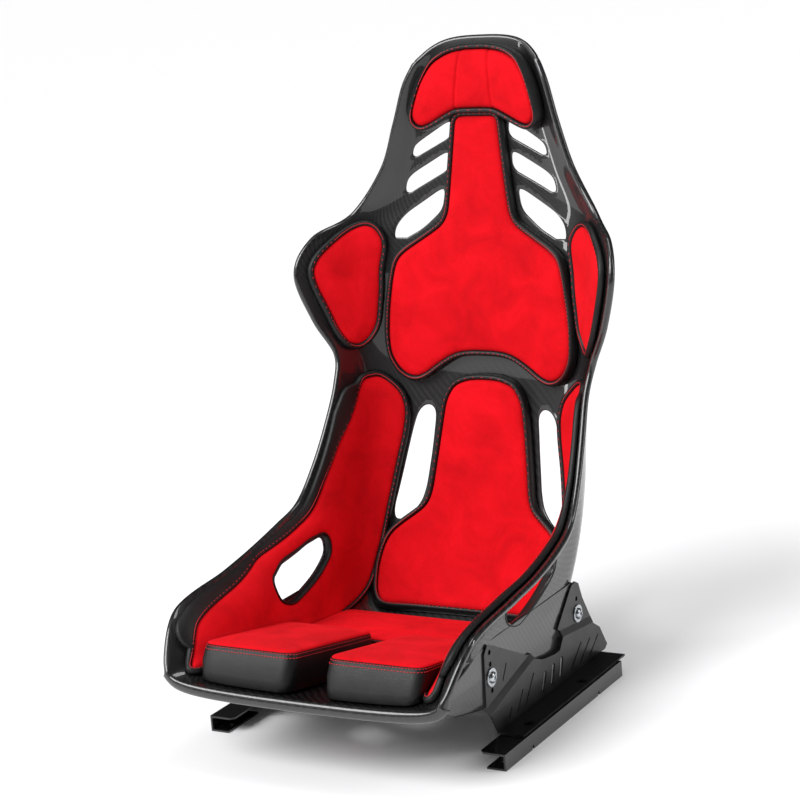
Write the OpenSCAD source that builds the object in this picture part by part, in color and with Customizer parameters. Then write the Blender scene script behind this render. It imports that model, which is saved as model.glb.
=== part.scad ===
// Racing bucket seat on side brackets and floor consoles.
// Millimetres. The seat faces -Y, +X is the viewer's right, +Z is up.
// The floor is z = 0 and the origin lies between the four floor bolts.

/* [Overall size] */
// Width over the shoulder wings
shoulder_w = 566; // [480:1:640]
// Height from the floor to the top of the head rest rim
seat_h = 990; // [850:1:1100]
// Length from the front lip to the rearmost point of the head rim
seat_l = 689; // [600:1:760]

/* [Shell] */
// Wall of the moulded shell
shell_t = 4; // [3:0.5:6]
// Depth of the rolled rim round the shell
rim_t = 10; // [7:0.5:14]
// Depth of the rim along the front lip
lip_t = 18; // [12:1:24]
// Depth of the moulded keel along each side that carries the side bolts
keel_w = 50; // [30:1:70]

/* [Pads] */
// Thickness of the back, lumbar and neck pads
back_pad_t = 17; // [12:1:24]
// Thickness of the shoulder and side bolster pads
side_pad_t = 13; // [8:1:18]
// Thickness of the head rest pad
head_pad_t = 24; // [14:1:32]
// Height of the thigh blocks above the front lip
thigh_pad_t = 62; // [40:1:76]
// Height of the rear seat pad above the lowest point of the shell
seat_pad_t = 58; // [44:1:70]

/* [Side brackets] */
// Distance between the front and rear side bolts
bolt_gap = 290; // [240:1:340]
// Sheet of the brackets and consoles
sheet_t = 3; // [2:0.5:4]
// Step between the ears and the lower face of a bracket
bracket_step = 4; // [3:0.5:8]

/* [Floor consoles] */
// Height of a console
console_h = 25; // [20:1:40]
// Length of a console
console_l = 400; // [340:1:460]
// Distance between the floor bolts of one console
floor_gap = 344; // [280:1:370]

/* [Fasteners] */
// Thread diameter of every screw
thread_d = 8; // [6:1:10]

/* [Hidden] */
// Scale of each direction against the outlines drawn below.
wide = shoulder_w / 566;
tall = seat_h / 990;
deep = seat_l / 689;

// Play round a thread, and the gap between a pad and its neighbours.
thread_play = 0.05;
hole_play = 0.5;
pad_gap = 1;

// Places on the side walls, all taken from the scaled outlines.
ear_x = 203 * wide;
face_x = ear_x + bracket_step;
console_in = face_x + 5;
console_out = face_x + 47;
console_x = console_out - 18;
bolt_mid = 9.5 * deep;
bolt_z = 114 * tall;
foot_front = -133;
foot_rear = 222 * deep;
foot_bolts = [-88, 92];
bolt_ys = [bolt_mid - bolt_gap / 2, bolt_mid + bolt_gap / 2];
// How far the ears move with their bolts from where they are drawn.
front_shift = bolt_ys[0] + 135.5 * deep;
rear_shift = bolt_ys[1] - 154.5 * deep;
insert_l = 9;

// Top of the thigh blocks at the front, how steeply it falls, and where the blocks end.
thigh_top = 128 * tall + thigh_pad_t;
thigh_slope = 0.2;
thigh_rear = -62 * deep;

washer_r = thread_d * 1.75;
washer_t = 2;
head_r = thread_d * 1.1;
head_h = thread_d * 0.62;
nut_r = thread_d * 0.94;
nut_h = thread_d * 0.8;

// One row per station from the front lip, along the pan, up the back to the head:
// profile y, z; rim x, y, z; corner and wall fullness of the cross-section.
STATIONS = [
    [-332, 128, 233, -328, 149, 1.00, 0.93],
    [-235, 110, 250, -264, 220, 0.85, 0.76],
    [-120, 86, 253, -130, 240, 0.90, 0.585],
    [0, 64, 254, -54, 252, 0.90, 0.575],
    [95, 58, 251, 22, 270, 0.905, 0.59],
    [170, 84, 243, 76, 289, 0.91, 0.68],
    [219, 150, 233, 121, 334, 0.92, 0.84],
    [ 252, 235, 225,  160, 390, 0.93, 0.91],
    [ 280, 335, 220,  196, 455, 0.91, 0.92],
    [ 299, 430, 227,  216, 502, 0.86, 0.92],
    [ 309, 525, 256,  202, 560, 0.79, 0.91],
    [ 314, 610, 277,  193, 634, 0.75, 0.90],
    [ 320, 670, 260,  228, 685, 0.76, 0.90],
    [ 327, 720, 214,  287, 716, 0.80, 0.92],
    [ 333, 780, 168,  311, 784, 0.83, 0.92],
    [ 341, 855, 142,  319, 855, 0.84, 0.92],
    [ 352, 922, 122,  328, 916, 0.84, 0.93],
    [ 364, 988, 103,  340, 950, 0.72, 0.92]
];
SPANS = len(STATIONS) - 1;

// Rise of the six control points of a cross-section, from the middle to the rim.
RISE = [0, 0, 0, 0.30, 0.68, 1];

// Smooth curve through one column of the stations.
function station(k, col) = STATIONS[max(0, min(SPANS, k))][col];
function blend(a, b, c, d, t) =
    b + 0.5 * t * (c - a + t * (2 * a - 5 * b + 4 * c - d + t * (3 * (b - c) + d - a)));
function along(s, col) =
    let (k = min(SPANS - 1, floor(s)), t = s - k)
    blend(station(k - 1, col), station(k, col), station(k + 1, col), station(k + 2, col), t);

// Value at t of the curve with six control values.
function curve6(p, t) =
    let (q = 1 - t)
    p[0] * q^5 + 5 * p[1] * q^4 * t + 10 * p[2] * q^3 * t^2
    + 10 * p[3] * q^2 * t^3 + 5 * p[4] * q * t^4 + p[5] * t^5;

// Point of the seat surface: s runs over the stations, v from the left rim (-1) to the right rim (1).
function seat_point(s, v) =
    let (
        py = along(s, 0), pz = along(s, 1), rx = along(s, 2), ry = along(s, 3), rz = along(s, 4),
        corner = along(s, 5), wall = along(s, 6), t = abs(v),
        x = rx * curve6([0, 0.3, corner, corner, wall, 1], t),
        h = curve6(RISE, t)
    )
    [sign(v) * x * wide, (py + (ry - py) * h) * deep, (pz + (rz - pz) * h) * tall];

// Direction that points out of the shell towards the driver.
function unit(a) = a / norm(a);
function seat_normal(s, v) =
    let (
        step = 0.02,
        across = seat_point(s, min(1, v + step)) - seat_point(s, max(-1, v - step)),
        up = seat_point(min(SPANS, s + step), v) - seat_point(max(0, s - step), v)
    )
    unit(cross(across, up));

// The wall thickens to the rolled rim near the edge of the surface, most at the front lip.
function ramp(a) = max(0, min(1, a));
function rim_extra(s, v) = max(
    (rim_t - shell_t) * ramp((abs(v) - 0.93) / 0.05),
    (rim_t - shell_t) * ramp((s - SPANS + 0.25) / 0.2),
    (lip_t - shell_t) * ramp((0.35 - s) / 0.25)
);

// Triangles of a closed skin over a grid of rows x cols cells, lower skin after the upper one.
function at(i, j, cols) = i * (cols + 1) + j;
function skin_faces(rows, cols) =
    let (n = (rows + 1) * (cols + 1))
    concat(
        [for (i = [0 : rows - 1], j = [0 : cols - 1])
            [at(i, j, cols), at(i + 1, j, cols), at(i + 1, j + 1, cols)]],
        [for (i = [0 : rows - 1], j = [0 : cols - 1])
            [at(i, j, cols), at(i + 1, j + 1, cols), at(i, j + 1, cols)]],
        [for (i = [0 : rows - 1], j = [0 : cols - 1])
            [n + at(i, j, cols), n + at(i + 1, j + 1, cols), n + at(i + 1, j, cols)]],
        [for (i = [0 : rows - 1], j = [0 : cols - 1])
            [n + at(i, j, cols), n + at(i, j + 1, cols), n + at(i + 1, j + 1, cols)]],
        [for (j = [0 : cols - 1], k = [0, 1])
            let (a = at(0, j, cols), b = at(0, j + 1, cols)) k == 0 ? [a, b, n + b] : [a, n + b, n + a]],
        [for (j = [0 : cols - 1], k = [0, 1])
            let (a = at(rows, j, cols), b = at(rows, j + 1, cols))
            k == 0 ? [a, n + b, b] : [a, n + a, n + b]],
        [for (i = [0 : rows - 1], k = [0, 1])
            let (a = at(i, 0, cols), b = at(i + 1, 0, cols)) k == 0 ? [a, n + b, b] : [a, n + a, n + b]],
        [for (i = [0 : rows - 1], k = [0, 1])
            let (a = at(i, cols, cols), b = at(i + 1, cols, cols))
            k == 0 ? [a, b, n + b] : [a, n + b, n + a]]
    );

// Skin between two distances from the seat surface, with or without the thicker rim.
module layer(s0, s1, v0, v1, rows, cols, low, high, rim = 0) {
    grid = [for (i = [0 : rows], j = [0 : cols]) [s0 + (s1 - s0) * i / rows, v0 + (v1 - v0) * j / cols]];
    upper = [for (g = grid) seat_point(g[0], g[1]) + high * seat_normal(g[0], g[1])];
    lower = [for (g = grid)
        seat_point(g[0], g[1]) + (low - rim * rim_extra(g[0], g[1])) * seat_normal(g[0], g[1])];
    polyhedron(concat(upper, lower), skin_faces(rows, cols), convexity = 10);
}

// Everything above the pan, starting a set distance over it.
module above_pan(s1, v0, v1, rows, cols, gap) {
    grid = [for (i = [0 : rows], j = [0 : cols]) [s1 * i / rows, v0 + (v1 - v0) * j / cols]];
    lower = [for (g = grid) seat_point(g[0], g[1]) + gap * seat_normal(g[0], g[1])];
    upper = [for (p = lower) [p[0], p[1], seat_h]];
    polyhedron(concat(upper, lower), skin_faces(rows, cols), convexity = 10);
}

// Keeps a moulded or padded piece as one smooth surface.
module moulded() {
    resize([0, 0, 0]) children();
}

// Flat outline with its corners rounded by r.
module rounded(points, r, grow = 0) {
    offset(r = r + grow, $fn = 28) offset(delta = -r) polygon(points);
}

// Outline seen from the front (x, z), carried through the whole depth.
module through_front() {
    rotate([90, 0, 0]) linear_extrude(3 * seat_l, center = true) scale([wide, tall]) children();
}

// Outline seen from the side (y, z), carried from one x to another.
module through_side(x0, x1) {
    translate([x0, 0, 0]) rotate([90, 0, 90]) linear_extrude(x1 - x0) scale([deep, tall]) children();
}

module both_sides() {
    children();
    mirror([1, 0, 0]) children();
}

// Half outline of a shape that is the same left and right, closed on the middle line.
function both_halves(half) =
    concat(half, [for (i = [len(half) - 1 : -1 : 0]) [-half[i][0], half[i][1]]]);

/* ---- outlines, drawn on the nominal seat ---- */

HEAD_OUT = [[30, 969], [64, 960], [90, 944], [108, 915], [120, 875], [110, 850], [88, 848],
    [55, 863], [30, 871]];
BACK_OUT = [[26, 870], [44, 862], [49, 820], [58, 735], [66, 706], [84, 688], [142, 658], [157, 634],
    [164, 590], [172, 530], [170, 482], [150, 448], [124, 438], [100, 446], [62, 472], [30, 483]];
LUMBAR_OUT = [[24, 454], [60, 444], [80, 412], [86, 370], [94, 300], [99, 258], [112, 238], [140, 220],
    [164, 202], [176, 170], [176, 128], [160, 92], [120, 82], [60, 80]];
SHOULDER_OUT = [[190, 716], [170, 704], [161, 676], [163, 648], [172, 585], [182, 530], [193, 507],
    [212, 498], [228, 512], [247, 572], [266, 626], [264, 646], [244, 672]];
SLOT_TOP = [[60, 858], [50, 858], [50, 832], [100, 807], [114, 800], [123, 804], [119, 820], [108, 829]];
SLOT_MID = [[64, 810], [54, 808], [56, 780], [112, 751], [128, 742], [138, 746], [134, 766], [122, 778]];
SLOT_LOW = [[74, 752], [64, 750], [70, 716], [105, 686], [142, 667], [157, 672], [154, 694], [138, 713]];
LUMBAR_HOLE = [[100, 402], [114, 402], [126, 390], [133, 366], [140, 332], [157, 238], [154, 219],
    [140, 217], [124, 229], [110, 246], [103, 270], [96, 330], [91, 390]];

// Side view of a side pad, and of the lap belt hole through it.
SIDE_OUT = [[292, 440], [290, 388], [268, 300], [238, 210], [214, 140], [176, 84], [110, 70],
    [-60, 86], [-296, 122], [-304, 146], [-282, 196], [-240, 214], [-120, 232], [-40, 244], [40, 262],
    [84, 280], [120, 310], [155, 352], [195, 402], [228, 440], [262, 456]];
LAP_HOLE = [[-79, 202], [-33, 220], [46, 231], [82, 232], [93, 223], [88, 203], [5, 164], [-38, 154],
    [-71, 170]];

KEEL_OUT = [[-292, 118], [-250, 93], [-160, 72], [-30, 66], [110, 66], [172, 84], [182, 140], [150, 168],
    [-150, 168], [-200, 150], [-280, 130]];

// Bracket outlines in the side view.
EAR_FRONT = [[-157, 72], [-151, 154], [-140, 165], [-127, 160], [-22, 108], [-12, 106]];
EAR_REAR = [[92, 106], [84, 112], [140, 163], [154, 166], [165, 160], [176, 132], [199, 94]];
FACE_OUT = [[-133, 28], [-152, 62], [-6, 97], [21, 86], [60, 80], [79, 80], [92, 96], [199, 84],
    [221, 70], [244, 34], [236, 28]];

/* ---- shell ---- */

module slot_cut(outline) {
    through_front() rounded(outline, 7);
}

module lap_cut(grow) {
    through_side(-shoulder_w / 2, shoulder_w / 2) rounded(LAP_HOLE, 12, grow);
}

module crotch_cut() {
    translate([0, -128 * deep, 0])
        linear_extrude(seat_h / 4)
            offset(r = 14, $fn = 28) square([34 * wide, 20 * deep], center = true);
}

// The foam-cored keel outside the pan, with a flat side for the ears, a hair short of them.
module keel() {
    difference() {
        through_side(ear_x - keel_w, ear_x - 0.2) rounded(KEEL_OUT, 10);
        above_pan(7, 0.02, 1, 20, 16, -shell_t / 2);
    }
}

module insert_cut(y) {
    translate([ear_x - insert_l - 0.4, y, bolt_z])
        rotate([0, 90, 0]) cylinder(d = thread_d + 5.2, h = insert_l + 5, $fn = 28);
}

module shell() {
    color([0.07, 0.08, 0.09]) moulded() difference() {
        union() {
            layer(0, SPANS, -1, 1, 54, 34, -shell_t, 0, 1);
            both_sides() keel();
        }
        for (outline = [SLOT_TOP, SLOT_MID, SLOT_LOW, LUMBAR_HOLE]) both_sides() slot_cut(outline);
        lap_cut(0);
        crotch_cut();
        both_sides() for (y = bolt_ys) insert_cut(y);
    }
}

/* ---- pads ---- */

module front_pad(half, r, s0, s1, v, rows, cols, thick) {
    moulded() intersection() {
        layer(s0, s1, -v, v, rows, cols, pad_gap, pad_gap + thick);
        through_front() rounded(both_halves(half), r);
    }
}

module headrest_pad() {
    color([0.86, 0.03, 0.07]) front_pad(HEAD_OUT, 14, 14, 16.95, 0.92, 12, 16, head_pad_t);
}

module upper_back_pad() {
    color([0.86, 0.03, 0.07]) front_pad(BACK_OUT, 10, 9, 15.3, 0.62, 20, 12, back_pad_t);
}

module lumbar_pad() {
    color([0.86, 0.03, 0.07]) moulded() difference() {
        intersection() {
            layer(4.2, 9.5, -0.62, 0.62, 22, 12, pad_gap, pad_gap + back_pad_t);
            through_front() rounded(both_halves(LUMBAR_OUT), 14);
        }
        rotate([90, 0, 90]) linear_extrude(shoulder_w, center = true) scale([deep, tall])
            polygon([[40, 0], [40, 112], [136, 132], [136, 0]]);
    }
}

module shoulder_pad_left() {
    color([0.86, 0.03, 0.07]) moulded() intersection() {
        layer(9, 13.4, 0.4, 0.97, 14, 10, pad_gap, pad_gap + side_pad_t);
        through_front() rounded(SHOULDER_OUT, 14);
    }
}

module shoulder_pad_right() {
    mirror([1, 0, 0]) shoulder_pad_left();
}

module side_pad_left() {
    color([0.86, 0.03, 0.07]) moulded() difference() {
        intersection() {
            layer(0.1, 9.6, 0.46, 0.97, 34, 12, pad_gap, pad_gap + side_pad_t);
            through_side(100, shoulder_w) rounded(SIDE_OUT, 16);
        }
        lap_cut(-3);
        rotate([90, 0, 0]) linear_extrude(3 * seat_l, center = true) scale([wide, tall])
            polygon([[0, 0], [0, 480], [134, 480], [136, 400], [147, 330], [163, 235], [187.5, 198],
                [187.5, 0]]);
    }
}

module side_pad_right() {
    mirror([1, 0, 0]) side_pad_left();
}

// A block of foam on the pan between two x and two y positions. Its top falls from top_z at the
// front by the given slope, its front face leans back, and its underside follows the shell.
module pan_block(x0, x1, y0, y1, top_z, slope, lean, r) {
    moulded() intersection() {
        above_pan(6, -0.92, 0.92, 26, 26, pad_gap);
        hull() for (x = [x0 + r, x1 - r], y = [y0, y1], z = [0, top_z])
            let (front = y == y0, high = z > 0)
            translate([x, y + (front ? r + (high ? lean : 0) : -r), high ? z - r - slope * (y - y0) : 0])
                sphere(r, $fn = 16);
    }
}

module thigh_pad_left() {
    color([0.86, 0.03, 0.07])
        pan_block(27 * wide, 186 * wide, -318 * deep, thigh_rear, thigh_top, thigh_slope, 28 * deep, 9);
}

module thigh_pad_right() {
    mirror([1, 0, 0]) thigh_pad_left();
}

module seat_pad() {
    color([0.86, 0.03, 0.07])
        pan_block(-182 * wide, 182 * wide, thigh_rear + 2, 100 * deep, 64 * tall + seat_pad_t, 0.1, 0, 9);
}

/* ---- brackets, consoles and fasteners ---- */

module sheet_yz(x, points, shift = 0) {
    translate([x, shift, 0]) rotate([90, 0, 90]) linear_extrude(sheet_t)
        polygon([for (p = points) [p[0] * deep, p[1] * tall]]);
}

// The sloping strip that joins an ear to the lower face.
module bend(ear_a, ear_b, face_a, face_b, shift) {
    hull() {
        for (p = [ear_a, ear_b]) translate([ear_x, p[0] * deep + shift, p[1] * tall]) cube([sheet_t, 1, 3]);
        for (p = [face_a, face_b]) translate([face_x, p[0] * deep, p[1] * tall]) cube([sheet_t, 1, 3]);
    }
}

// A straight slot with round ends through the sheet.
module slit(a, b, w) {
    run = [(b[0] - a[0]) * deep, (b[1] - a[1]) * tall];
    translate([ear_x - 1, a[0] * deep, a[1] * tall]) rotate([atan2(run[1], run[0]), 0, 0]) {
        translate([0, 0, -w / 2]) cube([sheet_t + bracket_step + 2, norm(run), w]);
        for (y = [0, norm(run)]) translate([0, y, 0]) rotate([0, 90, 0])
            cylinder(d = w, h = sheet_t + bracket_step + 2, $fn = 24);
    }
}

SLITS = [[[-98, 38], [-88, 50]], [[-70, 37], [-50, 64]], [[-44, 37], [-12, 76]], [[112, 37], [152, 68]],
    [[146, 37], [183, 64]], [[180, 37], [212, 60]], [[-101, 97], [-88, 118]]];
WIDE_SLOTS = [[[16, 41], [26, 62]], [[46, 41], [55, 64]], [[76, 41], [84, 65]]];

module side_bracket_left() {
    color([0.13, 0.13, 0.14]) difference() {
        union() {
            sheet_yz(ear_x, EAR_FRONT, front_shift);
            sheet_yz(ear_x, EAR_REAR, rear_shift);
            sheet_yz(face_x, FACE_OUT);
            bend([-157, 70], [-12, 104], [-152, 60], [-6, 95], front_shift);
            bend([92, 104], [198, 92], [92, 94], [198, 82], rear_shift);
            translate([face_x, foot_front * deep, console_h])
                cube([console_out - face_x - 4, foot_rear - foot_front * deep, sheet_t]);
            translate([face_x, foot_front * deep, console_h])
                cube([sheet_t, foot_rear - foot_front * deep, 4 + 28 * tall - console_h]);
        }
        for (y = bolt_ys) translate([ear_x - 1, y, bolt_z]) rotate([0, 90, 0])
            cylinder(d = thread_d + 2 * hole_play, h = sheet_t + 2, $fn = 48);
        for (dz = [-20, 20, 38]) translate([ear_x - 1, bolt_ys[0], bolt_z + dz * tall]) rotate([0, 90, 0])
            cylinder(d = thread_d, h = sheet_t + 2, $fn = 32);
        translate([ear_x - 1, bolt_ys[1], bolt_z + 24 * tall]) rotate([0, 90, 0])
            cylinder(d = thread_d, h = sheet_t + 2, $fn = 32);
        for (s = SLITS) slit(s[0], s[1], 3);
        for (s = WIDE_SLOTS) slit(s[0], s[1], 8);
        for (y = foot_bolts) foot_screw_cut(y);
    }
}

module side_bracket_right() {
    mirror([1, 0, 0]) side_bracket_left();
}

// Countersunk hole through the foot of a bracket and the console below it.
module foot_screw_cut(y) {
    translate([console_x, y * deep, console_h - sheet_t - 1])
        cylinder(d = thread_d + 2 * hole_play, h = 2 * sheet_t + 2, $fn = 48);
    translate([console_x, y * deep, console_h + sheet_t - thread_d / 2])
        cylinder(r1 = thread_d / 2 + 0.2, r2 = thread_d + 0.3, h = thread_d / 2 + 0.1, $fn = 48);
}

module console_left() {
    half = console_l / 2;
    flange_l = 84;
    color([0.05, 0.05, 0.055]) difference() {
        union() {
            translate([console_in, -half, console_h - sheet_t])
                cube([console_out - console_in, console_l, sheet_t]);
            translate([console_out - sheet_t, -half, 0]) cube([sheet_t, console_l, console_h]);
            for (y = [-half, half - flange_l])
                translate([console_out - 31, y, 0]) cube([31, flange_l, sheet_t]);
        }
        for (y = [-half + flange_l, half - flange_l - 6])
            translate([console_out - sheet_t - 1, y, -1]) cube([sheet_t + 2, 6, 7]);
        for (y = [-floor_gap / 2, floor_gap / 2]) translate([console_x, y, -1])
            cylinder(d = thread_d + 2 * hole_play, h = sheet_t + 2, $fn = 48);
        for (y = [-half, half]) translate([console_in, y, console_h - sheet_t - 1])
            rotate([0, 0, 45]) cube([9, 9, 2 * (sheet_t + 2)], center = true);
        for (y = foot_bolts) foot_screw_cut(y);
    }
}

module console_right() {
    mirror([1, 0, 0]) console_left();
}

module at_side_bolts() {
    both_sides() for (y = bolt_ys) translate([ear_x, y, bolt_z]) rotate([0, 90, 0]) children();
}

module threaded_inserts() {
    color([0.72, 0.66, 0.45]) at_side_bolts() translate([0, 0, -insert_l]) difference() {
        cylinder(d = thread_d + 5, h = insert_l - 0.1, $fn = 48);
        translate([0, 0, -1]) cylinder(d = thread_d + 2 * thread_play, h = insert_l + 2, $fn = 48);
    }
}

module side_washers() {
    color([0.75, 0.76, 0.78]) at_side_bolts() translate([0, 0, sheet_t]) difference() {
        cylinder(r = washer_r, h = washer_t, $fn = 64);
        translate([0, 0, -1]) cylinder(d = thread_d + hole_play, h = washer_t + 2, $fn = 48);
    }
}

module side_bolts() {
    color([0.75, 0.76, 0.78]) at_side_bolts() difference() {
        union() {
            translate([0, 0, 1 - insert_l])
                cylinder(d = thread_d, h = insert_l + sheet_t + washer_t, $fn = 48);
            translate([0, 0, sheet_t + washer_t])
                cylinder(r1 = head_r, r2 = head_r * 0.62, h = head_h, $fn = 48);
        }
        translate([0, 0, sheet_t + washer_t + head_h * 0.35])
            cylinder(r = thread_d * 0.36, h = head_h, $fn = 6);
    }
}

module at_foot_screws() {
    both_sides() for (y = foot_bolts) translate([console_x, y * deep, console_h]) children();
}

module foot_screws() {
    color([0.12, 0.12, 0.13]) at_foot_screws() difference() {
        union() {
            translate([0, 0, -thread_d - 4]) cylinder(d = thread_d, h = thread_d + 4 + sheet_t, $fn = 48);
            translate([0, 0, sheet_t - thread_d / 2 + 0.1])
                cylinder(r1 = thread_d / 2, r2 = thread_d - 0.1, h = thread_d / 2 - 0.1, $fn = 48);
        }
        translate([0, 0, sheet_t - 2.5]) cylinder(r = thread_d * 0.33, h = 4, $fn = 6);
    }
}

module foot_nuts() {
    color([0.75, 0.76, 0.78]) at_foot_screws() translate([0, 0, -sheet_t - nut_h]) difference() {
        cylinder(r = nut_r, h = nut_h, $fn = 6);
        translate([0, 0, -1]) cylinder(d = thread_d + 2 * thread_play, h = nut_h + 2, $fn = 48);
    }
}

shell();
headrest_pad();
upper_back_pad();
lumbar_pad();
shoulder_pad_left();
shoulder_pad_right();
side_pad_left();
side_pad_right();
thigh_pad_left();
thigh_pad_right();
seat_pad();
side_bracket_left();
side_bracket_right();
console_left();
console_right();
threaded_inserts();
side_washers();
side_bolts();
foot_screws();
foot_nuts();
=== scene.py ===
# %% [markdown]
# # A racing bucket seat
# The seat is a one-piece carbon fibre shell with loose pads, two steel side brackets and two
# floor consoles. The frame brings every part of the mechanical design at its real size. This lesson
# keeps the brackets, consoles and hidden fasteners as they are, and gives the shell, the pads, the
# bolts and all finishes the detail of the real seat.
# The frame is loaded first, because every place below is measured from it.

# %% Load the frame
import math

import bpy
import numpy as np
from mathutils import Matrix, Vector
from mathutils.geometry import delaunay_2d_cdt


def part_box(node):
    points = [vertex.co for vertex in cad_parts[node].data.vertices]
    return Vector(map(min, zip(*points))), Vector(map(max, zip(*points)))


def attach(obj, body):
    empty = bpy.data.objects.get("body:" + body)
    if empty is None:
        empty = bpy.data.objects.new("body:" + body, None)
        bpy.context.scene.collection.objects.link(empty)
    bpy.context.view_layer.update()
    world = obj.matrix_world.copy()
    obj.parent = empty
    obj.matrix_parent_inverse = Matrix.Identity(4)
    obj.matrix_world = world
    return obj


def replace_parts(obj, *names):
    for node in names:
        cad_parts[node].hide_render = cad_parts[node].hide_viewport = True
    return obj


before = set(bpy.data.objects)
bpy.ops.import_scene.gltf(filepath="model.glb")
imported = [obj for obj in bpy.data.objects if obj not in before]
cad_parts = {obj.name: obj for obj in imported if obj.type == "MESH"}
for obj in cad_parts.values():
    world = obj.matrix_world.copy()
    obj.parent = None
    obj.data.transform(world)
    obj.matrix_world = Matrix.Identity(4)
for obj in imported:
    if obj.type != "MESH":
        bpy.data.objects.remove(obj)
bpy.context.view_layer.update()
MM = 0.001
print("frame loaded:", sorted(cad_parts))

# %% [markdown]
# ## The camera
# A long lens stands a good three metres off, to the front right and a little above the seat, so that
# upright lines stay almost upright. The camera leans five degrees, which turns the seat slightly in
# the picture. A camera's matrix is built from its own three axes: right, up and backwards.

# %% Camera
AZIMUTH, ELEVATION, LEAN = math.radians(30.83), math.radians(13.32), math.radians(-5.0)
LENS_MM, SENSOR_MM = 103.9, 36.0
CAMERA_AT = np.array([1.7394, -2.8931, 1.2829])

forward = np.array([-math.sin(AZIMUTH) * math.cos(ELEVATION),
                    math.cos(AZIMUTH) * math.cos(ELEVATION), -math.sin(ELEVATION)])
level = np.cross(forward, [0, 0, 1])
level /= np.linalg.norm(level)
upright = np.cross(level, forward)
right = math.cos(LEAN) * level + math.sin(LEAN) * upright
up = -math.sin(LEAN) * level + math.cos(LEAN) * upright

camera_data = bpy.data.cameras.new("camera")
camera_data.lens, camera_data.sensor_width = LENS_MM, SENSOR_MM
camera = bpy.data.objects.new("camera", camera_data)
bpy.context.scene.collection.objects.link(camera)
camera_matrix = np.eye(4)
camera_matrix[:3, :3] = np.stack([right, up, -forward], 1)
camera_matrix[:3, 3] = CAMERA_AT
camera.matrix_world = Matrix(camera_matrix.tolist())
bpy.context.scene.camera = camera
print("camera at", CAMERA_AT.round(2))

# %% [markdown]
# ## The seat surface
# Every soft or moulded piece lies on one surface. It could be sculpted by hand, but then each pad
# would have to be fitted to it again. Here it is a function of two numbers instead: `s` counts
# stations from the front lip, along the pan and up the back, and `v` goes from the left rim (-1)
# through the middle (0) to the right rim (1). A station gives the middle of the shell, the rim,
# and how boxy the cross-section between them is. The stations are those of the CAD shell.

# %% Seat surface
STATIONS = np.array([
    # middle y, z; rim x, y, z (mm); fullness of the corner and of the wall
    [-332, 128, 233, -328, 149, 1.00, 0.93],
    [-235, 110, 250, -264, 220, 0.85, 0.76],
    [-120, 86, 253, -130, 240, 0.90, 0.585],
    [0, 64, 254, -54, 252, 0.90, 0.575],
    [95, 58, 251, 22, 270, 0.905, 0.59],
    [170, 84, 243, 76, 289, 0.91, 0.68],
    [219, 150, 233, 121, 334, 0.92, 0.84],
    [252, 235, 225, 160, 390, 0.93, 0.91],
    [280, 335, 220, 196, 455, 0.91, 0.92],
    [299, 430, 227, 216, 502, 0.86, 0.92],
    [309, 525, 256, 202, 560, 0.79, 0.91],
    [314, 610, 277, 193, 634, 0.75, 0.90],
    [320, 670, 260, 228, 685, 0.76, 0.90],
    [327, 720, 214, 287, 716, 0.80, 0.92],
    [333, 780, 168, 311, 784, 0.83, 0.92],
    [341, 855, 142, 319, 855, 0.84, 0.92],
    [352, 922, 122, 328, 916, 0.84, 0.93],
    [364, 988, 103, 340, 950, 0.72, 0.92],
])
SPANS = len(STATIONS) - 1
RISE = (0, 0, 0, 0.30, 0.68, 1)


def at_station(s):
    """Each column's value at s: a Catmull-Rom cubic through the four stations round s."""
    s = np.asarray(s, float)
    k = np.clip(np.floor(s).astype(int), 0, SPANS - 1)
    t = (s - k)[..., None]
    a, b, c, d = (STATIONS[np.clip(k + i, 0, SPANS)] for i in (-1, 0, 1, 2))
    return b + 0.5 * t * (c - a + t * (2 * a - 5 * b + 4 * c - d + t * (3 * (b - c) + d - a)))


def six_point_curve(values, t):
    """Bernstein sum of six control values: the sum of value i times binomial(5, i) (1-t)^(5-i) t^i."""
    return sum(value * math.comb(5, i) * (1 - t) ** (5 - i) * t ** i for i, value in enumerate(values))


def seat_point(s, v):
    """x is the rim's x times a six-point curve of |v|; y and z go from the middle to the rim by another."""
    s, v = np.broadcast_arrays(np.asarray(s, float), np.asarray(v, float))
    middle_y, middle_z, rim_x, rim_y, rim_z, corner, wall = np.moveaxis(at_station(s), -1, 0)
    share = np.abs(v)
    x = np.sign(v) * rim_x * six_point_curve((0, 0.3, corner, corner, wall, 1), share)
    rise = six_point_curve(RISE, share)
    return np.stack([x, middle_y + (rim_y - middle_y) * rise, middle_z + (rim_z - middle_z) * rise], -1) * MM


def seat_frame(sv):
    """Point, step per s, step per v and inward normal of the seat surface, by central differences."""
    s, v = sv[..., 0], sv[..., 1]
    h = 0.01
    high, low = np.minimum(s + h, SPANS), np.maximum(s - h, 0)
    along = (seat_point(high, v) - seat_point(low, v)) / (high - low)[..., None]
    across = (seat_point(s, v + h) - seat_point(s, v - h)) / (2 * h)
    normal = np.cross(across, along)
    return seat_point(s, v), along, across, normal / np.linalg.norm(normal, axis=-1, keepdims=True)


print("top of the surface %.3f m" % seat_point(SPANS, 0)[2])

# %% [markdown]
# ## Outlines and loops
# Openings and pads are drawn as a few corner points. Most are drawn as a tailor's pattern is seen from
# the front, in millimetres, and some directly in the surface's own s and v. `rounded` turns corners
# into arcs, `on_seat` finds the s and v of points drawn from the front, and `offset_loop` moves a
# closed loop sideways on the surface by a real distance.

# %% Loop helpers
def smooth_step(a):
    """0 below 0 and 1 above 1, with the cubic a a (3 - 2 a) between them."""
    a = np.clip(a, 0, 1)
    return a * a * (3 - 2 * a)


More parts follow.
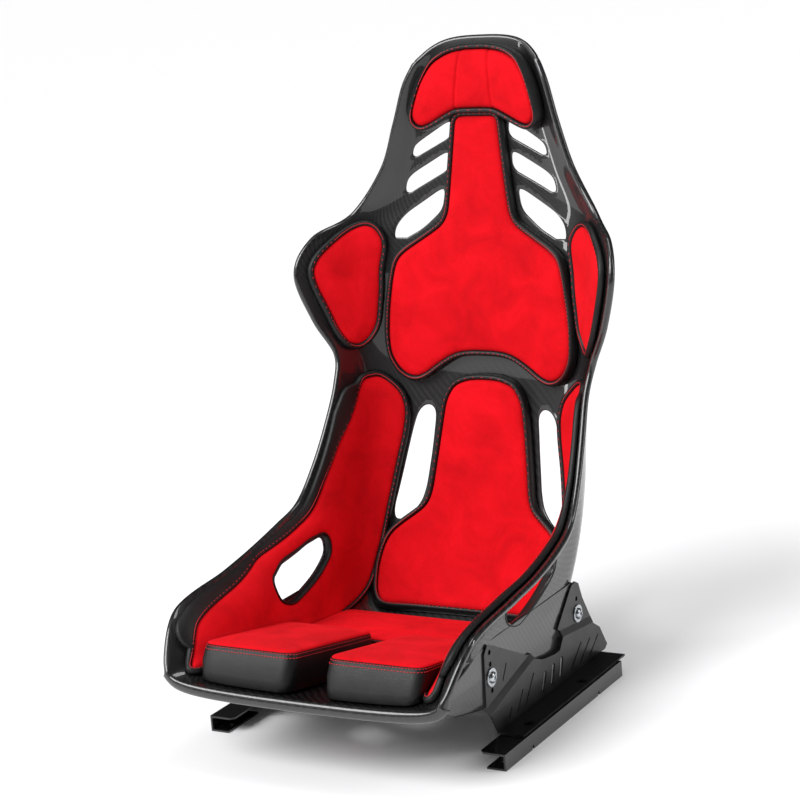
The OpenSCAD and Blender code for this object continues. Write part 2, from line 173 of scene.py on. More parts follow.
def rounded(corners, radius, count=240):
    """Each corner becomes a parabola from radius before it to radius after it; then equal steps all round."""
    p = np.asarray(corners, float)
    before, after = np.roll(p, 1, 0) - p, np.roll(p, -1, 0) - p
    reach = [np.minimum(radius / np.linalg.norm(e, axis=1, keepdims=True), 0.46) for e in (before, after)]
    a, b = p + before * reach[0], p + after * reach[1]
    t = np.linspace(0, 1, 9)[None, :, None]
    arcs = (1 - t) ** 2 * a[:, None] + 2 * t * (1 - t) * p[:, None] + t * t * b[:, None]
    return equal_steps(arcs.reshape(-1, p.shape[1]), count)


def equal_steps(loop, count):
    """The closed loop walked at equal distances, count points in all."""
    closed = np.vstack([loop, loop[:1]])
    walked = np.concatenate([[0], np.cumsum(np.linalg.norm(np.diff(closed, axis=0), axis=1))])
    stops = np.linspace(0, walked[-1], count, endpoint=False)
    return np.stack([np.interp(stops, walked, closed[:, i]) for i in range(loop.shape[1])], 1)


def both_halves(half):
    """A half outline on the right, from the middle line down to it again, and its mirror image."""
    half = np.asarray(half, float)
    return np.vstack([half, (half * [-1, 1])[::-1]])


def on_seat(points, axes, s_range, v_range):
    """s and v of points known by two of x, y, z (mm): nearest grid point, then Newton steps."""
    points = np.asarray(points, float) * MM
    s, v = np.meshgrid(np.linspace(*s_range, 140), np.linspace(*v_range, 100), indexing="ij")
    grid = seat_point(s, v)[..., axes].reshape(-1, 2)
    nearest = np.argmin(((points[:, None] - grid[None]) ** 2).sum(-1), 1)
    sv = np.stack([s.ravel()[nearest], v.ravel()[nearest]], 1)
    for _ in range(8):
        point, along, across, _ = seat_frame(sv)
        jacobian = np.stack([along[:, axes], across[:, axes]], -1)
        jacobian += np.eye(2) * 1e-6
        step = np.linalg.solve(jacobian, (points - point[:, axes])[..., None])[..., 0]
        sv = sv + np.clip(step, -0.2, 0.2)
        sv = np.clip(sv, [s_range[0], v_range[0]], [s_range[1], v_range[1]])
    return sv


def turned_outwards(sv):
    """The loop, reversed if needed so that it runs anticlockwise seen from inside the seat."""
    s, v = sv.T
    area = np.sum(v * np.roll(s, -1) - np.roll(v, -1) * s)
    return sv if area > 0 else sv[::-1]


def side_step(sv, width):
    """s and v after moving each point of a closed loop width metres to its outer side."""
    point, along, across, normal = seat_frame(sv)
    tangent = np.roll(point, -1, 0) - np.roll(point, 1, 0)
    tangent /= np.linalg.norm(tangent, axis=1, keepdims=True)
    out = np.cross(tangent, normal) * np.broadcast_to(np.asarray(width, float), len(sv))[:, None]
    basis = np.stack([along, across], -1)
    step = np.einsum("nij,nj->ni", np.linalg.pinv(basis), out)
    return np.clip(sv + step, [0, -1], [SPANS, 1])


def offset_loop(sv, width):
    """The loop moved sideways in short steps, so that it follows the curve of the surface."""
    width = np.broadcast_to(np.asarray(width, float), len(sv))
    pieces = max(1, int(np.ceil(np.abs(width).max() / (4 * MM))))
    for _ in range(pieces):
        sv = side_step(sv, width / pieces)
    return sv


def inside(points, loop):
    """True for the points inside the closed loop, by counting the edges crossed to one side."""
    x, y = points[:, 0, None], points[:, 1, None]
    x0, y0 = loop[None, :, 0], loop[None, :, 1]
    x1, y1 = np.roll(loop[:, 0], -1)[None], np.roll(loop[:, 1], -1)[None]
    crosses = (y0 > y) != (y1 > y)
    rise = np.where(y1 == y0, 1e-12, y1 - y0)
    return (crosses & (x < (x1 - x0) * (y - y0) / rise + x0)).sum(1) % 2 == 1


PATTERN = np.array([0.300, 0.088])


def flat(sv):
    """The surface laid out flat for meshing: v and s times about the metres that they span."""
    return np.stack([sv[..., 1], sv[..., 0]], -1) * PATTERN


def unflat(points):
    """s and v of points of the flat pattern."""
    return np.stack([points[..., 1] / PATTERN[1], points[..., 0] / PATTERN[0]], -1)


print("the seat laid flat is %.2f m wide and %.2f m long" % (2 * PATTERN[0], SPANS * PATTERN[1]))


# %% [markdown]
# ## Meshes from arrays
# A mesh is three arrays: points, triangles and quads. `piece` puts them into Blender in one go, and
# sets the UV map, the smooth shading, the material and the body that the piece rides on.
# `patch` fills a loop on the flat pattern with evenly sized triangles, with a Delaunay triangulation
# that keeps the loops as edges. A grid alone couldn't follow the outline of an opening.

# %% Mesh helpers
def piece(name, points, faces, material, uv=None):
    """Makes a mesh object at the origin from points (n x 3) and a list of face arrays (m x 3 or m x 4)."""
    mesh = bpy.data.meshes.new(name)
    sizes = np.concatenate([np.full(len(f), f.shape[1]) for f in faces])
    corners = np.concatenate([f.ravel() for f in faces]).astype(np.int32)
    mesh.vertices.add(len(points))
    mesh.vertices.foreach_set("co", np.asarray(points, np.float32).ravel())
    mesh.loops.add(len(corners))
    mesh.loops.foreach_set("vertex_index", corners)
    mesh.polygons.add(len(sizes))
    mesh.polygons.foreach_set("loop_start", np.concatenate([[0], np.cumsum(sizes)[:-1]]).astype(np.int32))
    mesh.polygons.foreach_set("use_smooth", np.ones(len(sizes), bool))
    if uv is not None:
        layer = mesh.uv_layers.new(name="weave")
        layer.data.foreach_set("uv", np.asarray(uv, np.float32)[corners].ravel())
    mesh.update()
    mesh.validate()
    mesh.materials.append(material)
    made = bpy.data.objects.new(name, mesh)
    bpy.context.scene.collection.objects.link(made)
    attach(made, "root")
    print("%-26s %6d points %6d faces" % (name, len(points), len(sizes)))
    return made


def ring_faces(rows, cols, closed_rows=False):
    """Quads of a grid whose columns run round a loop, and whose rows may also close into a loop."""
    i = np.arange(rows if closed_rows else rows - 1)[:, None]
    j = np.arange(cols)[None]
    ni, nj = (i + 1) % rows, (j + 1) % cols
    return np.stack(np.broadcast_arrays(i * cols + j, i * cols + nj, ni * cols + nj, ni * cols + j),
                    -1).reshape(-1, 4)


def distance_to(points, others):
    """Distance from each point to the nearest of the other points, in blocks to save memory."""
    near = np.full(len(points), np.inf)
    for block in np.array_split(others, max(1, len(others) // 150)):
        near = np.minimum(near, ((points[:, None] - block[None]) ** 2).sum(-1).min(1))
    return np.sqrt(near)


def between(points, loops):
    """True for points of the flat pattern inside the first loop and outside all others."""
    keep = inside(points, loops[0])
    for hole in loops[1:]:
        keep &= ~inside(points, hole)
    return keep


def patch(outer, holes, rings, spacing):
    """Triangles over the flat pattern between the outer loop and the holes. Each ring is (distance from
    the edge, loops): its points follow the edge. Further in, free points fill a staggered grid."""
    loops = [flat(l) for l in [outer, *holes]]
    edge = np.vstack([outer, *holes])
    edge_at = seat_point(*edge.T)
    inner = [np.empty((0, 2))]
    for gap, ring_loops in rings:
        ring = np.vstack(ring_loops)
        apart = distance_to(seat_point(*ring.T), edge_at) > 0.8 * gap
        inner.append(ring[apart & between(flat(ring), loops)])
    low, high = loops[0].min(0), loops[0].max(0)
    nx, ny = np.ceil((high - low) / spacing).astype(int)
    gx, gy = np.meshgrid(np.linspace(low[0], high[0], nx + 1), np.linspace(low[1], high[1], ny + 1))
    gx[1::2] += spacing / 2
    free = np.stack([gx.ravel(), gy.ravel()], 1)
    free = unflat(free[between(free, loops)])
    fixed = np.vstack([edge, *inner])
    free = free[distance_to(seat_point(*free.T), seat_point(*fixed.T)) > 0.55 * spacing]
    points = np.vstack([fixed, free])
    points_flat = flat(points)
    starts = np.cumsum([0] + [len(l) for l in loops])
    runs = [np.arange(a, b) for a, b in zip(starts[:-1], starts[1:])]
    edges = np.vstack([np.column_stack([run, np.roll(run, -1)]) for run in runs])
    _, _, tris, origin, _, _ = delaunay_2d_cdt(points_flat.tolist(), edges.tolist(), [], 0, 1e-9)
    place = np.array([o[0] if o else -1 for o in origin])
    assert (place >= 0).all(), "two loops of a patch cross"
    tris = place[np.array([t for t in tris if len(t) == 3])]
    return points, tris[between(points_flat[tris].mean(1), loops)], starts


print("mesh helpers ready")

# %% [markdown]
# ## Colours and nodes
# Paint and cloth makers give colours as sRGB hex values, while Blender's shaders work in linear light,
# so one function converts them. A second function adds any node with its settings and its links, and
# a third makes a material out of the nodes that a paint function adds.

# %% Material helpers
def linear(hex_colour):
    """sRGB hex to linear RGBA: c/12.92 below 0.04045, else ((c + 0.055) / 1.055) ** 2.4."""
    c = np.array([int(hex_colour[i:i + 2], 16) for i in (1, 3, 5)]) / 255
    c = np.where(c < 0.04045, c / 12.92, ((c + 0.055) / 1.055) ** 2.4)
    return (*c.tolist(), 1.0)


def add(tree, kind, inputs=None, stops=(), **settings):
    """Adds a node. settings go to its properties, and each input takes a value or another node's output.
    The stops of a colour ramp are (position, sRGB hex or grey level)."""
    node = tree.nodes.new(kind)
    for key, value in settings.items():
        setattr(node, key, value)
    for key, value in (inputs or {}).items():
        if isinstance(value, bpy.types.NodeSocket):
            tree.links.new(value, node.inputs[key])
        else:
            node.inputs[key].default_value = value
    for k, (position, colour) in enumerate(stops):
        element = node.color_ramp.elements[k] if k < 2 else node.color_ramp.elements.new(position)
        element.position = position
        element.color = linear(colour) if isinstance(colour, str) else (colour, colour, colour, 1)
    return node


def new_material(name, paint, *options):
    """A material with the nodes that paint(tree, *options) adds; paint gives back the last shader."""
    made = bpy.data.materials.new(name)
    made.use_nodes = True
    made.node_tree.nodes.clear()
    shader = paint(made.node_tree, *options)
    add(made.node_tree, "ShaderNodeOutputMaterial", {"Surface": shader.outputs["BSDF"]})
    return made


print("helpers ready; mid grey #808080 is", round(linear("#808080")[0], 3), "in linear light")

# %% [markdown]
# ## Carbon fibre twill under clear coat
# The shell is woven carbon fibre in epoxy. In a two-by-two twill each tow passes over two others and
# under two, and every row is shifted by one, which draws the diagonal stripes. The tows that lie one
# way catch the light while the others stay dark, so two greys and a slight bump for each tow show the
# weave. A clear coat on top is smooth and gives the sharp white reflections. Real tows are 2 mm wide;
# they are drawn 3 mm wide so that they still show from the camera.

# %% Carbon twill
TOW = 3.0 * MM


def carbon_twill(tree):
    uv = add(tree, "ShaderNodeUVMap", uv_map="weave")
    laid = add(tree, "ShaderNodeMapping", {"Vector": uv.outputs["UV"], "Rotation": (0, 0, math.radians(8)),
                                           "Scale": (1 / TOW, 1 / TOW, 1)})
    axes = add(tree, "ShaderNodeSeparateXYZ", {"Vector": laid.outputs["Vector"]})
    column = add(tree, "ShaderNodeMath", {0: axes.outputs["X"]}, operation="FLOOR")
    row = add(tree, "ShaderNodeMath", {0: axes.outputs["Y"]}, operation="FLOOR")
    diagonal = add(tree, "ShaderNodeMath", {0: column.outputs[0], 1: row.outputs[0]}, operation="ADD")
    repeat = add(tree, "ShaderNodeMath", {0: diagonal.outputs[0], 1: 4}, operation="FLOORED_MODULO")
    over = add(tree, "ShaderNodeMath", {0: repeat.outputs[0], 1: 1.5}, operation="LESS_THAN")
    across = add(tree, "ShaderNodeMath", {0: axes.outputs["X"], 1: 0.5}, operation="PINGPONG")
    along = add(tree, "ShaderNodeMath", {0: axes.outputs["Y"], 1: 0.5}, operation="PINGPONG")
    crown = add(tree, "ShaderNodeMix", {0: over.outputs[0], 2: across.outputs[0], 3: along.outputs[0]},
                data_type="FLOAT")
    place = add(tree, "ShaderNodeTexCoord")
    cloud = add(tree, "ShaderNodeTexNoise", {"Vector": place.outputs["Object"], "Scale": 9.0, "Detail": 2.0})
    faint = add(tree, "ShaderNodeMath", {0: cloud.outputs["Fac"], 1: 0.5}, operation="MULTIPLY")
    shade = add(tree, "ShaderNodeMath", {0: over.outputs[0], 1: 0.55, 2: faint.outputs[0]},
                operation="MULTIPLY_ADD")
    colour = add(tree, "ShaderNodeValToRGB", {"Fac": shade.outputs[0]},
                 [(0.10, "#020203"), (0.50, "#08090A"), (0.95, "#141618")])
    rough = add(tree, "ShaderNodeValToRGB", {"Fac": over.outputs[0]}, [(0.0, 0.40), (1.0, 0.50)])
    bump = add(tree, "ShaderNodeBump", {"Height": crown.outputs[0], "Strength": 0.16, "Distance": 0.25 * MM})
    return add(tree, "ShaderNodeBsdfPrincipled", {
        "Base Color": colour.outputs["Color"], "Roughness": rough.outputs["Color"],
        "Normal": bump.outputs["Normal"], "Metallic": 0.0, "IOR": 1.5, "Coat Weight": 1.0,
        "Coat Roughness": 0.03, "Coat IOR": 1.5})


CARBON = new_material("clear_coated_carbon_twill", carbon_twill)
print(CARBON.name, len(CARBON.node_tree.nodes), "nodes")

# %% [markdown]
# ## Microfibre suede
# The pads are faced with a bright red microfibre suede: a dense nap of very fine fibres. It has no
# gloss, its edges glow a little where the fibres catch grazing light, and brushing leaves slightly
# lighter and darker areas. Noise in three sizes gives the brushed areas, the nap and the bump.

# %% Suede
def suede(tree, dark, mid, light):
    place = add(tree, "ShaderNodeTexCoord").outputs["Object"]
    brushed = add(tree, "ShaderNodeTexNoise", {"Vector": place, "Scale": 14.0, "Detail": 3.0,
                                               "Roughness": 0.6, "Distortion": 0.6})
    nap = add(tree, "ShaderNodeTexNoise", {"Vector": place, "Scale": 900.0, "Detail": 2.0})
    tufts = add(tree, "ShaderNodeTexNoise", {"Vector": place, "Scale": 240.0, "Detail": 4.0})
    mixed = add(tree, "ShaderNodeMix", {0: 0.35, 2: brushed.outputs["Fac"], 3: nap.outputs["Fac"]},
                data_type="FLOAT")
    colour = add(tree, "ShaderNodeValToRGB", {"Fac": mixed.outputs[0]},
                 [(0.32, dark), (0.50, mid), (0.68, light)])
    rough = add(tree, "ShaderNodeValToRGB", {"Fac": tufts.outputs["Fac"]}, [(0.3, 0.86), (0.7, 0.98)])
    height = add(tree, "ShaderNodeMath", {0: nap.outputs["Fac"], 1: tufts.outputs["Fac"]}, operation="ADD")
    bump = add(tree, "ShaderNodeBump", {"Height": height.outputs[0], "Strength": 0.22, "Distance": 0.3 * MM})
    return add(tree, "ShaderNodeBsdfPrincipled", {
        "Base Color": colour.outputs["Color"], "Roughness": rough.outputs["Color"],
        "Normal": bump.outputs["Normal"], "IOR": 1.45, "Specular IOR Level": 0.15,
        "Sheen Weight": 0.12, "Sheen Roughness": 0.5, "Sheen Tint": linear("#FF3B46")})


SUEDE = new_material("red_microfibre_suede", suede, "#B40410", "#CC0714", "#DE0C1B")
print(SUEDE.name, len(SUEDE.node_tree.nodes), "nodes")

# %% [markdown]
# ## Coated leather
# The pads' edges are black leather: split hide with an embossed pebble grain and a thin satin finish.
# A Voronoi pattern of cells about 1.4 mm wide gives the pebbles, and the creases between them are
# deeper and less shiny. Noise adds the faint unevenness of a stretched hide.

# %% Leather
PEBBLE = 1.4 * MM


def grained_leather(tree):
    place = add(tree, "ShaderNodeTexCoord").outputs["Object"]
    warp = add(tree, "ShaderNodeTexNoise", {"Vector": place, "Scale": 160.0, "Detail": 2.0})
    bent = add(tree, "ShaderNodeMix", {0: 0.004, 4: place, 5: warp.outputs["Color"]}, data_type="VECTOR")
    pebbles = add(tree, "ShaderNodeTexVoronoi", {"Vector": bent.outputs[1], "Scale": 1 / PEBBLE},
                  feature="DISTANCE_TO_EDGE")
    stretch = add(tree, "ShaderNodeTexNoise", {"Vector": place, "Scale": 45.0, "Detail": 3.0})
    grain = add(tree, "ShaderNodeValToRGB", {"Fac": pebbles.outputs["Distance"]},
                [(0.0, 0.0), (0.18, 0.8), (0.5, 1.0)])
    colour = add(tree, "ShaderNodeValToRGB", {"Fac": stretch.outputs["Fac"]},
                 [(0.3, "#060607"), (0.7, "#0E0F10")])
    rough = add(tree, "ShaderNodeValToRGB", {"Fac": grain.outputs["Color"]}, [(0.0, 0.62), (1.0, 0.38)])
    bump = add(tree, "ShaderNodeBump", {"Height": grain.outputs["Color"], "Strength": 0.35,
                                        "Distance": 0.25 * MM})
    return add(tree, "ShaderNodeBsdfPrincipled", {
        "Base Color": colour.outputs["Color"], "Roughness": rough.outputs["Color"],
        "Normal": bump.outputs["Normal"], "IOR": 1.5, "Specular IOR Level": 0.45})


LEATHER = new_material("black_grained_leather", grained_leather)
print(LEATHER.name, len(LEATHER.node_tree.nodes), "nodes")

# %% [markdown]
# ## Metals, coatings and thread
# The brackets are steel with a satin powder coat, whose fine orange peel is a low bump 1.2 mm wide.
# The consoles have a glossier one. Bolts and washers are zinc-plated steel with small changes in
# roughness, the foot screws are black oxide, and the stitching is twisted polyester thread.

# %% Metals and thread
ORANGE_PEEL, THREAD_TWIST = 1.2 * MM, 1.5 * MM


def powder_coat(tree, dark, light, rough_low, rough_high, peel_strength, coat):
    place = add(tree, "ShaderNodeTexCoord").outputs["Object"]
    film = add(tree, "ShaderNodeTexNoise", {"Vector": place, "Scale": 30.0, "Detail": 4.0}).outputs["Fac"]
    peel = add(tree, "ShaderNodeTexNoise", {"Vector": place, "Scale": 1 / ORANGE_PEEL, "Detail": 1.0})
    colour = add(tree, "ShaderNodeValToRGB", {"Fac": film}, [(0.3, dark), (0.7, light)])
    rough = add(tree, "ShaderNodeValToRGB", {"Fac": film}, [(0.3, rough_low), (0.7, rough_high)])
    bump = add(tree, "ShaderNodeBump", {"Height": peel.outputs["Fac"], "Strength": peel_strength,
                                        "Distance": 0.1 * MM})
    return add(tree, "ShaderNodeBsdfPrincipled", {
        "Base Color": colour.outputs["Color"], "Roughness": rough.outputs["Color"],
        "Normal": bump.outputs["Normal"], "IOR": 1.5, "Coat Weight": coat, "Coat Roughness": 0.08})


def bare_metal(tree, dark, light, rough_low, rough_high):
    place = add(tree, "ShaderNodeTexCoord").outputs["Object"]
    grains = add(tree, "ShaderNodeTexNoise", {"Vector": place, "Scale": 420.0, "Detail": 4.0})
    crystals = grains.outputs["Fac"]
    colour = add(tree, "ShaderNodeValToRGB", {"Fac": crystals}, [(0.3, dark), (0.7, light)])
    rough = add(tree, "ShaderNodeValToRGB", {"Fac": crystals}, [(0.3, rough_low), (0.7, rough_high)])
    bump = add(tree, "ShaderNodeBump", {"Height": crystals, "Strength": 0.08, "Distance": 0.05 * MM})
    return add(tree, "ShaderNodeBsdfPrincipled", {
        "Base Color": colour.outputs["Color"], "Roughness": rough.outputs["Color"],
        "Normal": bump.outputs["Normal"], "Metallic": 1.0})


def polyester_thread(tree):
    place = add(tree, "ShaderNodeTexCoord").outputs["Object"]
    twist = add(tree, "ShaderNodeTexWave", {"Vector": place, "Scale": 1 / THREAD_TWIST, "Distortion": 1.0})
    # The colour ramp paints lighter and darker red along the twist: painted highlight on the rounded plies
    # and painted shade in the grooves between them.
    colour = add(tree, "ShaderNodeValToRGB", {"Fac": twist.outputs["Color"]},
                 [(0.2, "#9C0E18"), (0.8, "#E01A28")])
    bump = add(tree, "ShaderNodeBump", {"Height": twist.outputs["Color"], "Strength": 0.3,
                                        "Distance": 0.1 * MM})
    return add(tree, "ShaderNodeBsdfPrincipled", {
        "Base Color": colour.outputs["Color"], "Normal": bump.outputs["Normal"], "Roughness": 0.55,
        "IOR": 1.5})


BRACKET = new_material("satin_black_powder_coat", powder_coat, "#0E0F10", "#17181A", 0.34, 0.46, 0.25, 0.15)
CONSOLE = new_material("gloss_black_powder_coat", powder_coat, "#070708", "#101112", 0.16, 0.26, 0.10, 0.6)
ZINC = new_material("zinc_plated_steel", bare_metal, "#A9AEB2", "#D8DCDF", 0.22, 0.36)
BLACK_STEEL = new_material("black_oxide_steel", bare_metal, "#1C1C1E", "#2B2B2E", 0.35, 0.50)
BRASS = new_material("machined_brass", bare_metal, "#A98A45", "#D0B26A", 0.25, 0.38)
THREAD = new_material("red_polyester_thread", polyester_thread)
print("materials:", [made.name for made in (BRACKET, CONSOLE, ZINC, BLACK_STEEL, BRASS, THREAD)])

# %% [markdown]
# ## The shell
# The real shell is laid up in a mould: a thin laminate whose free edge is rolled into a smooth bead,
# which stiffens it and spares the driver's legs. It could be a grid with a Solidify modifier, but the
# belt slots and openings would then have stepped edges. So one patch with all the openings is
# triangulated once, set on the inner face and, one wall thickness behind, on the outer face, and each
# edge gets a half-round lip: a profile carried along the loop.

# %% Shell outlines
SLOT_TOP = [[60, 858], [50, 858], [50, 832], [100, 807], [114, 800], [123, 804], [119, 820], [108, 829]]
SLOT_MID = [[64, 810], [54, 808], [56, 780], [112, 751], [128, 742], [138, 746], [134, 766], [122, 778]]
SLOT_LOW = [[74, 752], [64, 750], [70, 716], [105, 686], [142, 667], [157, 672], [154, 694], [138, 713]]
LUMBAR_HOLE = [[100, 402], [114, 402], [126, 390], [133, 366], [140, 332], [157, 238], [154, 219],
               [140, 217], [124, 229], [110, 246], [103, 270], [96, 330], [91, 390]]
LAP_HOLE_SV = [[2.52, 0.85], [3.14, 0.89], [4.16, 0.88], [4.71, 0.86], [4.81, 0.83], [4.62, 0.78],
               [3.39, 0.72], [2.87, 0.69], [2.53, 0.74]]
CROTCH_HOLE = [[-31, -152], [31, -152], [31, -104], [-31, -104]]
WALL, RIM_DEPTH, LIP_DEPTH = 4 * MM, 11 * MM, 18 * MM
BORDER_CORNER = 0.024


def mirrored(sv):
    """The same loop on the other side of the seat; it then runs the other way round."""
    return sv * [1, -1]


def from_sv(corners, radius, count):
    """A loop drawn in s and v, with its corners rounded in metres on the flat pattern."""
    return turned_outwards(unflat(rounded(flat(np.array(corners)), radius, count)))


def slot_loop(corners):
    """A slot drawn from the front on the right half, found on the seat and turned to run anticlockwise."""
    sv = on_seat(rounded(corners, 14, 90), [0, 2], (12, 16.5), (0.05, 0.95))
    return turned_outwards(sv)


def shell_openings():
    """Loops of all openings: six belt slots, two lumbar windows, two lap belt holes, one crotch slot."""
    lumbar = turned_outwards(on_seat(rounded(LUMBAR_HOLE, 16, 130), [0, 2], (5.5, 9.5), (0.1, 0.75)))
    lap = offset_loop(from_sv(LAP_HOLE_SV, 0.016, 110), -2 * MM)
    right_side = [slot_loop(c) for c in (SLOT_TOP, SLOT_MID, SLOT_LOW)] + [lumbar, lap]
    crotch = turned_outwards(on_seat(rounded(CROTCH_HOLE, 20, 70), [0, 1], (1, 3.5), (-0.4, 0.4)))
    return right_side + [turned_outwards(mirrored(sv)) for sv in right_side] + [crotch]


def shell_border():
    """The rim on the flat pattern: a rectangle with rounded corners, a little inside the CAD rim."""
    low, high = [0.05, -0.985], [SPANS - 0.05, 0.985]
    corners = flat(np.array([[low[0], low[1]], [low[0], high[1]], [high[0], high[1]], [high[0], low[1]]]))
    return turned_outwards(unflat(rounded(corners, BORDER_CORNER, 760)))


def wall_depth(sv):
    """Wall thickness, growing smoothly to the rim's depth over the last 14 mm and to the lip's in front."""
    s, v = sv[..., 0], sv[..., 1]
    side = smooth_step((np.abs(v) - 0.94) / 0.045)
    top = smooth_step((s - SPANS + 0.22) / 0.17)
    front = smooth_step((0.26 - s) / 0.2)
    return WALL + np.maximum((RIM_DEPTH - WALL) * np.maximum(side, top), (LIP_DEPTH - WALL) * front)


def rolled_edge(sv, steps, bulge):
    """Half an ellipse from the inner to the outer face, carried along the loop: for an angle a from 0 to
    180 degrees, the point moves out by bulge times sin a and back by half the wall times (1 - cos a)."""
    point, _, _, normal = seat_frame(sv)
    tangent = np.roll(point, -1, 0) - np.roll(point, 1, 0)
    tangent /= np.linalg.norm(tangent, axis=1, keepdims=True)
    out = np.cross(tangent, normal)
    a = np.linspace(0, math.pi, steps + 1)[1:-1, None, None]
    depth = wall_depth(sv)[None, :, None]
    return point[None] + out[None] * bulge * np.sin(a) - normal[None] * depth / 2 * (1 - np.cos(a))


def make_shell():
    """The inner face is the seat surface, the outer face lies one wall depth behind it, and a rolled edge
    joins the two along the border and round each opening."""
    sv, tris, starts = patch(shell_border(), shell_openings(), [], 6.5 * MM)
    point, _, _, normal = seat_frame(sv)
    inner, outer = point, point - normal * wall_depth(sv)[:, None]
    points, faces = [inner, outer], [tris, tris[:, ::-1] + len(sv)]
    texture = [flat(sv), flat(sv) + [0.4, 0]]
    count = 2 * len(sv)
    for k, (a, b) in enumerate(zip(starts[:-1], starts[1:])):
        loop = sv[a:b]
        steps, bulge = (9, 0.5 * RIM_DEPTH) if k == 0 else (5, 0.5 * WALL)
        bead = rolled_edge(loop if k == 0 else loop[::-1], steps, bulge)
        if k:
            bead = bead[:, ::-1]
        rows, cols = bead.shape[:2]
        first, last = np.arange(a, b), np.arange(a, b) + len(sv)
        index = np.vstack([first, count + np.arange(rows * cols).reshape(rows, cols), last])
        nxt = np.roll(index, -1, 1)
        quads = np.stack([index[:-1], index[1:], nxt[1:], nxt[:-1]], -1).reshape(-1, 4)
        faces.append(quads if k == 0 else quads[:, ::-1])
        points.append(bead.reshape(-1, 3))
        texture.append(np.repeat(flat(loop)[None], rows, 0).reshape(-1, 2)
                       + np.repeat(np.arange(1, rows + 1), cols)[:, None] * [1.5 * MM, 0])
        count += rows * cols
    return piece("carbon_shell", np.vstack(points), faces, CARBON, np.vstack(texture))


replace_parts(make_shell(), "shell")

# %% [markdown]
# ## Stitching
# A stitch is a short rounded bar of thread that dips into the leather at both ends. One small mesh of
# a few dozen faces is copied along each seam by array arithmetic, so thousands of stitches stay light.

# %% Stitches
STITCH_LENGTH, STITCH_PITCH, THREAD_RADIUS = 3.6 * MM, 5.2 * MM, 0.55 * MM
SIDES = 6
ring_at = np.array([-0.5, -0.42, 0.0, 0.42, 0.5])
ring_size = np.array([0.45, 0.95, 1.0, 0.95, 0.45])
ring_dip = np.array([-0.9, -0.25, 0.0, -0.25, -0.9])
turn = np.arange(SIDES) * 2 * math.pi / SIDES
STITCH = np.stack([
    np.repeat(ring_at[:, None] * STITCH_LENGTH, SIDES, 1),
    ring_size[:, None] * np.cos(turn) * THREAD_RADIUS,
    ring_size[:, None] * np.sin(turn) * THREAD_RADIUS + ring_dip[:, None] * THREAD_RADIUS,
], -1).reshape(-1, 3)
STITCH_QUADS = ring_faces(len(ring_at), SIDES)
STITCH_ENDS = np.array([np.arange(SIDES)[::-1], np.arange(SIDES) + SIDES * (len(ring_at) - 1)])


def stitches(name, rows):
    """One object of all stitches along the rows; a row is points, tangents and outward normals."""
    points, quads, ends, count = [], [], [], 0
    for at, tangent, normal in rows:
        side = np.cross(normal, tangent)
        basis = np.stack([tangent, side, normal], 1)
        copies = at[:, None] + np.einsum("pk,nkj->npj", STITCH, basis)
        shift = count + np.arange(len(at)) * len(STITCH)
        points.append(copies.reshape(-1, 3))
        quads.append((STITCH_QUADS[None] + shift[:, None, None]).reshape(-1, 4))
        ends.append((STITCH_ENDS[None] + shift[:, None, None]).reshape(-1, SIDES))
        count += len(at) * len(STITCH)
    return piece(name, np.vstack(points), [np.vstack(quads), np.vstack(ends)], THREAD)


def seam_row(sv, height):
    """Stitch places at equal steps along a loop on the seat, height metres above the surface."""
    point, _, _, normal = seat_frame(sv)
    path = point + normal * height
    length = np.linalg.norm(np.roll(path, -1, 0) - path, axis=1).sum()
    packed = equal_steps(np.hstack([path, normal]), max(8, int(length / STITCH_PITCH)))
    at, normal = packed[:, :3], packed[:, 3:]
    normal /= np.linalg.norm(normal, axis=1, keepdims=True)
    tangent = np.roll(at, -1, 0) - np.roll(at, 1, 0)
    tangent -= normal * (tangent * normal).sum(1, keepdims=True)
    tangent /= np.linalg.norm(tangent, axis=1, keepdims=True)
    return at, tangent, normal


print("a stitch has %d points and is copied every %.1f mm" % (len(STITCH), STITCH_PITCH / MM))

# %% [markdown]
# ## Shell pads
# Each pad on the shell is a sheet of foam with a suede face, sewn to a leather edge that wraps round
# the foam. The seam sits in a shallow groove, and the face rises a little towards its middle. Both
# parts are heights above the seat surface: the leather edge is a closed profile carried round the
# outline, and the suede is a triangulated patch whose height depends on the distance to the seam.

# %% Pad helpers
NARROW_EDGE = 9 * MM
GLUE_GAP = 1.2 * MM


def leather_edge(name, seam, width, thickness):
    """Profile round the pad. Its first number is the share of the width outwards from the seam, its
    second the share of the thickness above the shell: up out of the groove, over, and down the side.
    The curves at both sides are those of a narrow edge, and a wider edge is flat between them."""
    profile = np.array([[-0.10, 0.10], [-0.08, 0.62], [0.00, 0.74], [0.07, 0.86], [0.22, 0.95], [0.45, 0.97],
                        [0.65, 0.94], [0.82, 0.84], [0.94, 0.66], [1.00, 0.42], [1.00, 0.10]])
    width = np.broadcast_to(np.asarray(width, float), len(seam))
    narrow = np.minimum(1, NARROW_EDGE / width)
    rows = []
    for share, height in profile:
        if share < 0.4:
            reach = share * narrow
        elif share > 0.5:
            reach = 1 - (1 - share) * narrow
        else:
            reach = share
        sv = offset_loop(seam, reach * width)
        point, _, _, normal = seat_frame(sv)
        rows.append(point + normal * (GLUE_GAP + height * thickness))
    grid = np.array(rows)[:, ::-1]
    faces = ring_faces(len(profile), len(seam), closed_rows=True)
    return piece(name, grid.reshape(-1, 3), [faces], LEATHER)


